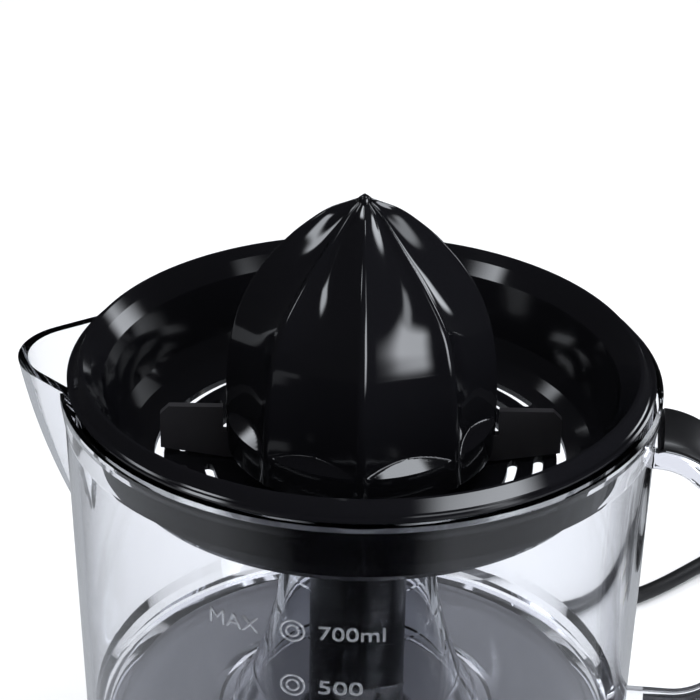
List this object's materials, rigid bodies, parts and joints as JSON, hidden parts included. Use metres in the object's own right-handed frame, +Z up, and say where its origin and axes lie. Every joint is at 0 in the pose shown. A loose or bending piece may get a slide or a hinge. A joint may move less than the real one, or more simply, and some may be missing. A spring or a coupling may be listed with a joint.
{
  "type": "citrus press juicer",
  "caption": "Electric citrus press: fluted reamer cone turning in a black strainer on a clear spouted jug with a handle, on a round motor base with a mains cord.",
  "frame": {"origin": "on the spindle axis, at the level of the surface that the feet stand on", "axes": "+Z up along the spindle axis, +X to the handle, -X to the spout, -Y to the front"},
  "size_m": [0.2795, 0.2989, 0.2116],
  "materials": {
    "gloss_black": "high gloss moulded",
    "satin_grey": "fine satin",
    "clear_plastic": "clear polished",
    "grip": "satin",
    "base_shell": "semi-gloss moulded",
    "base_shell_inner": "moulded",
    "rubber": "matt",
    "steel": "zinc plated",
    "lamination": "stacked laminations",
    "winding": "enamelled copper under tape",
    "zinc": "stamped",
    "bronze": "sintered",
    "switch_body": "moulded",
    "cord": "smooth flexible sheath",
    "brass": "nickel plated",
    "ferrite": "sintered",
    "gear_plastic": "natural acetal",
    "shaft_plastic": "glass-filled nylon",
    "button_plastic": "moulded"
  },
  "bodies": {
    "base": {"base_housing": "base_shell", "base_cover": "base_shell_inner", "rubber_feet": "rubber", "cover_screws": "steel", "motor_core": "lamination", "motor_coils": "winding", "motor_brackets": "zinc", "rotor_bushes": "bronze", "bracket_screws": "steel", "motor_screws": "steel", "gear_plate": "steel", "gear_plate_screws": "steel", "idler_axle": "steel", "lower_bush": "bronze", "upper_bush": "bronze", "micro_switch": "switch_body", "press_spring": "steel", "strain_relief": "rubber", "inner_cord": "cord", "cord_clamp": "base_shell_inner", "clamp_screws": "steel", "cord_tube": "cord", "cord_tail": "cord", "cord_coil": "cord", "plug_body": "cord", "plug_pins": "brass"},
    "rotor": {"rotor_magnet": "ferrite", "rotor_shaft": "steel", "motor_pinion": "gear_plastic"},
    "idler": {"idler_gear": "gear_plastic"},
    "thrust_cup": {"thrust_cup": "gear_plastic"},
    "switch_button": {"switch_button": "button_plastic"},
    "spindle": {"drive_shaft": "shaft_plastic", "output_gear": "gear_plastic"},
    "jug": {"jug": "clear_plastic", "handle_grip": "grip"},
    "strainer": {"strainer": "gloss_black"},
    "sweeper": {"pulp_wiper": "satin_grey"},
    "small_cone": {"small_cone": "gloss_black"},
    "large_cone": {"large_cone": "gloss_black"}
  },
  "joints": [
    {"name": "shaft_press", "type": "slide", "parent": "base", "child": "thrust_cup", "axis": [0, 0, 1], "range_m": [-0.0015, 0], "stiffness_N_per_m": 3000, "springref_m": 0.001, "deforming": ["press_spring"]},
    {"name": "switch_press", "type": "slide", "parent": "base", "child": "switch_button", "axis": [0, 0, 1], "range_m": [-0.0015, 0]},
    {"name": "shaft_spin", "type": "hinge", "parent": "thrust_cup", "child": "spindle", "pos_m": [0, 0, 0], "axis": [0, 0, 1], "continuous": true},
    {"name": "idler_spin", "type": "hinge", "parent": "base", "child": "idler", "pos_m": [0.014, 0.02425, 0.045], "axis": [0, 0, 1], "continuous": true},
    {"name": "rotor_spin", "type": "hinge", "parent": "base", "child": "rotor", "pos_m": [0.03764, 0.02008, 0.03], "axis": [0, 0, 1], "continuous": true},
    {"name": "jug_lift", "type": "slide", "parent": "base", "child": "jug", "axis": [0, 0, 1], "range_m": [0, 0.14]},
    {"name": "strainer_lift", "type": "slide", "parent": "jug", "child": "strainer", "axis": [0, 0, 1], "range_m": [0, 0.06]},
    {"name": "cone_spin", "type": "hinge", "parent": "strainer", "child": "sweeper", "pos_m": [0, 0, 0.15], "axis": [0, 0, 1], "continuous": true},
    {"name": "cone_press", "type": "slide", "parent": "sweeper", "child": "small_cone", "axis": [0, 0, 1], "range_m": [-0.0015, 0]},
    {"name": "large_cone_lift", "type": "slide", "parent": "small_cone", "child": "large_cone", "axis": [0, 0, 1], "range_m": [0, 0.07]}
  ],
  "couplings": [
    {"joint": "switch_press", "follows": "shaft_press", "ratio": 1},
    {"joint": "cone_press", "follows": "shaft_press", "ratio": 1},
    {"joint": "cone_spin", "follows": "shaft_spin", "ratio": 1},
    {"joint": "idler_spin", "follows": "shaft_spin", "ratio": -6},
    {"joint": "rotor_spin", "follows": "shaft_spin", "ratio": 30}
  ]
}
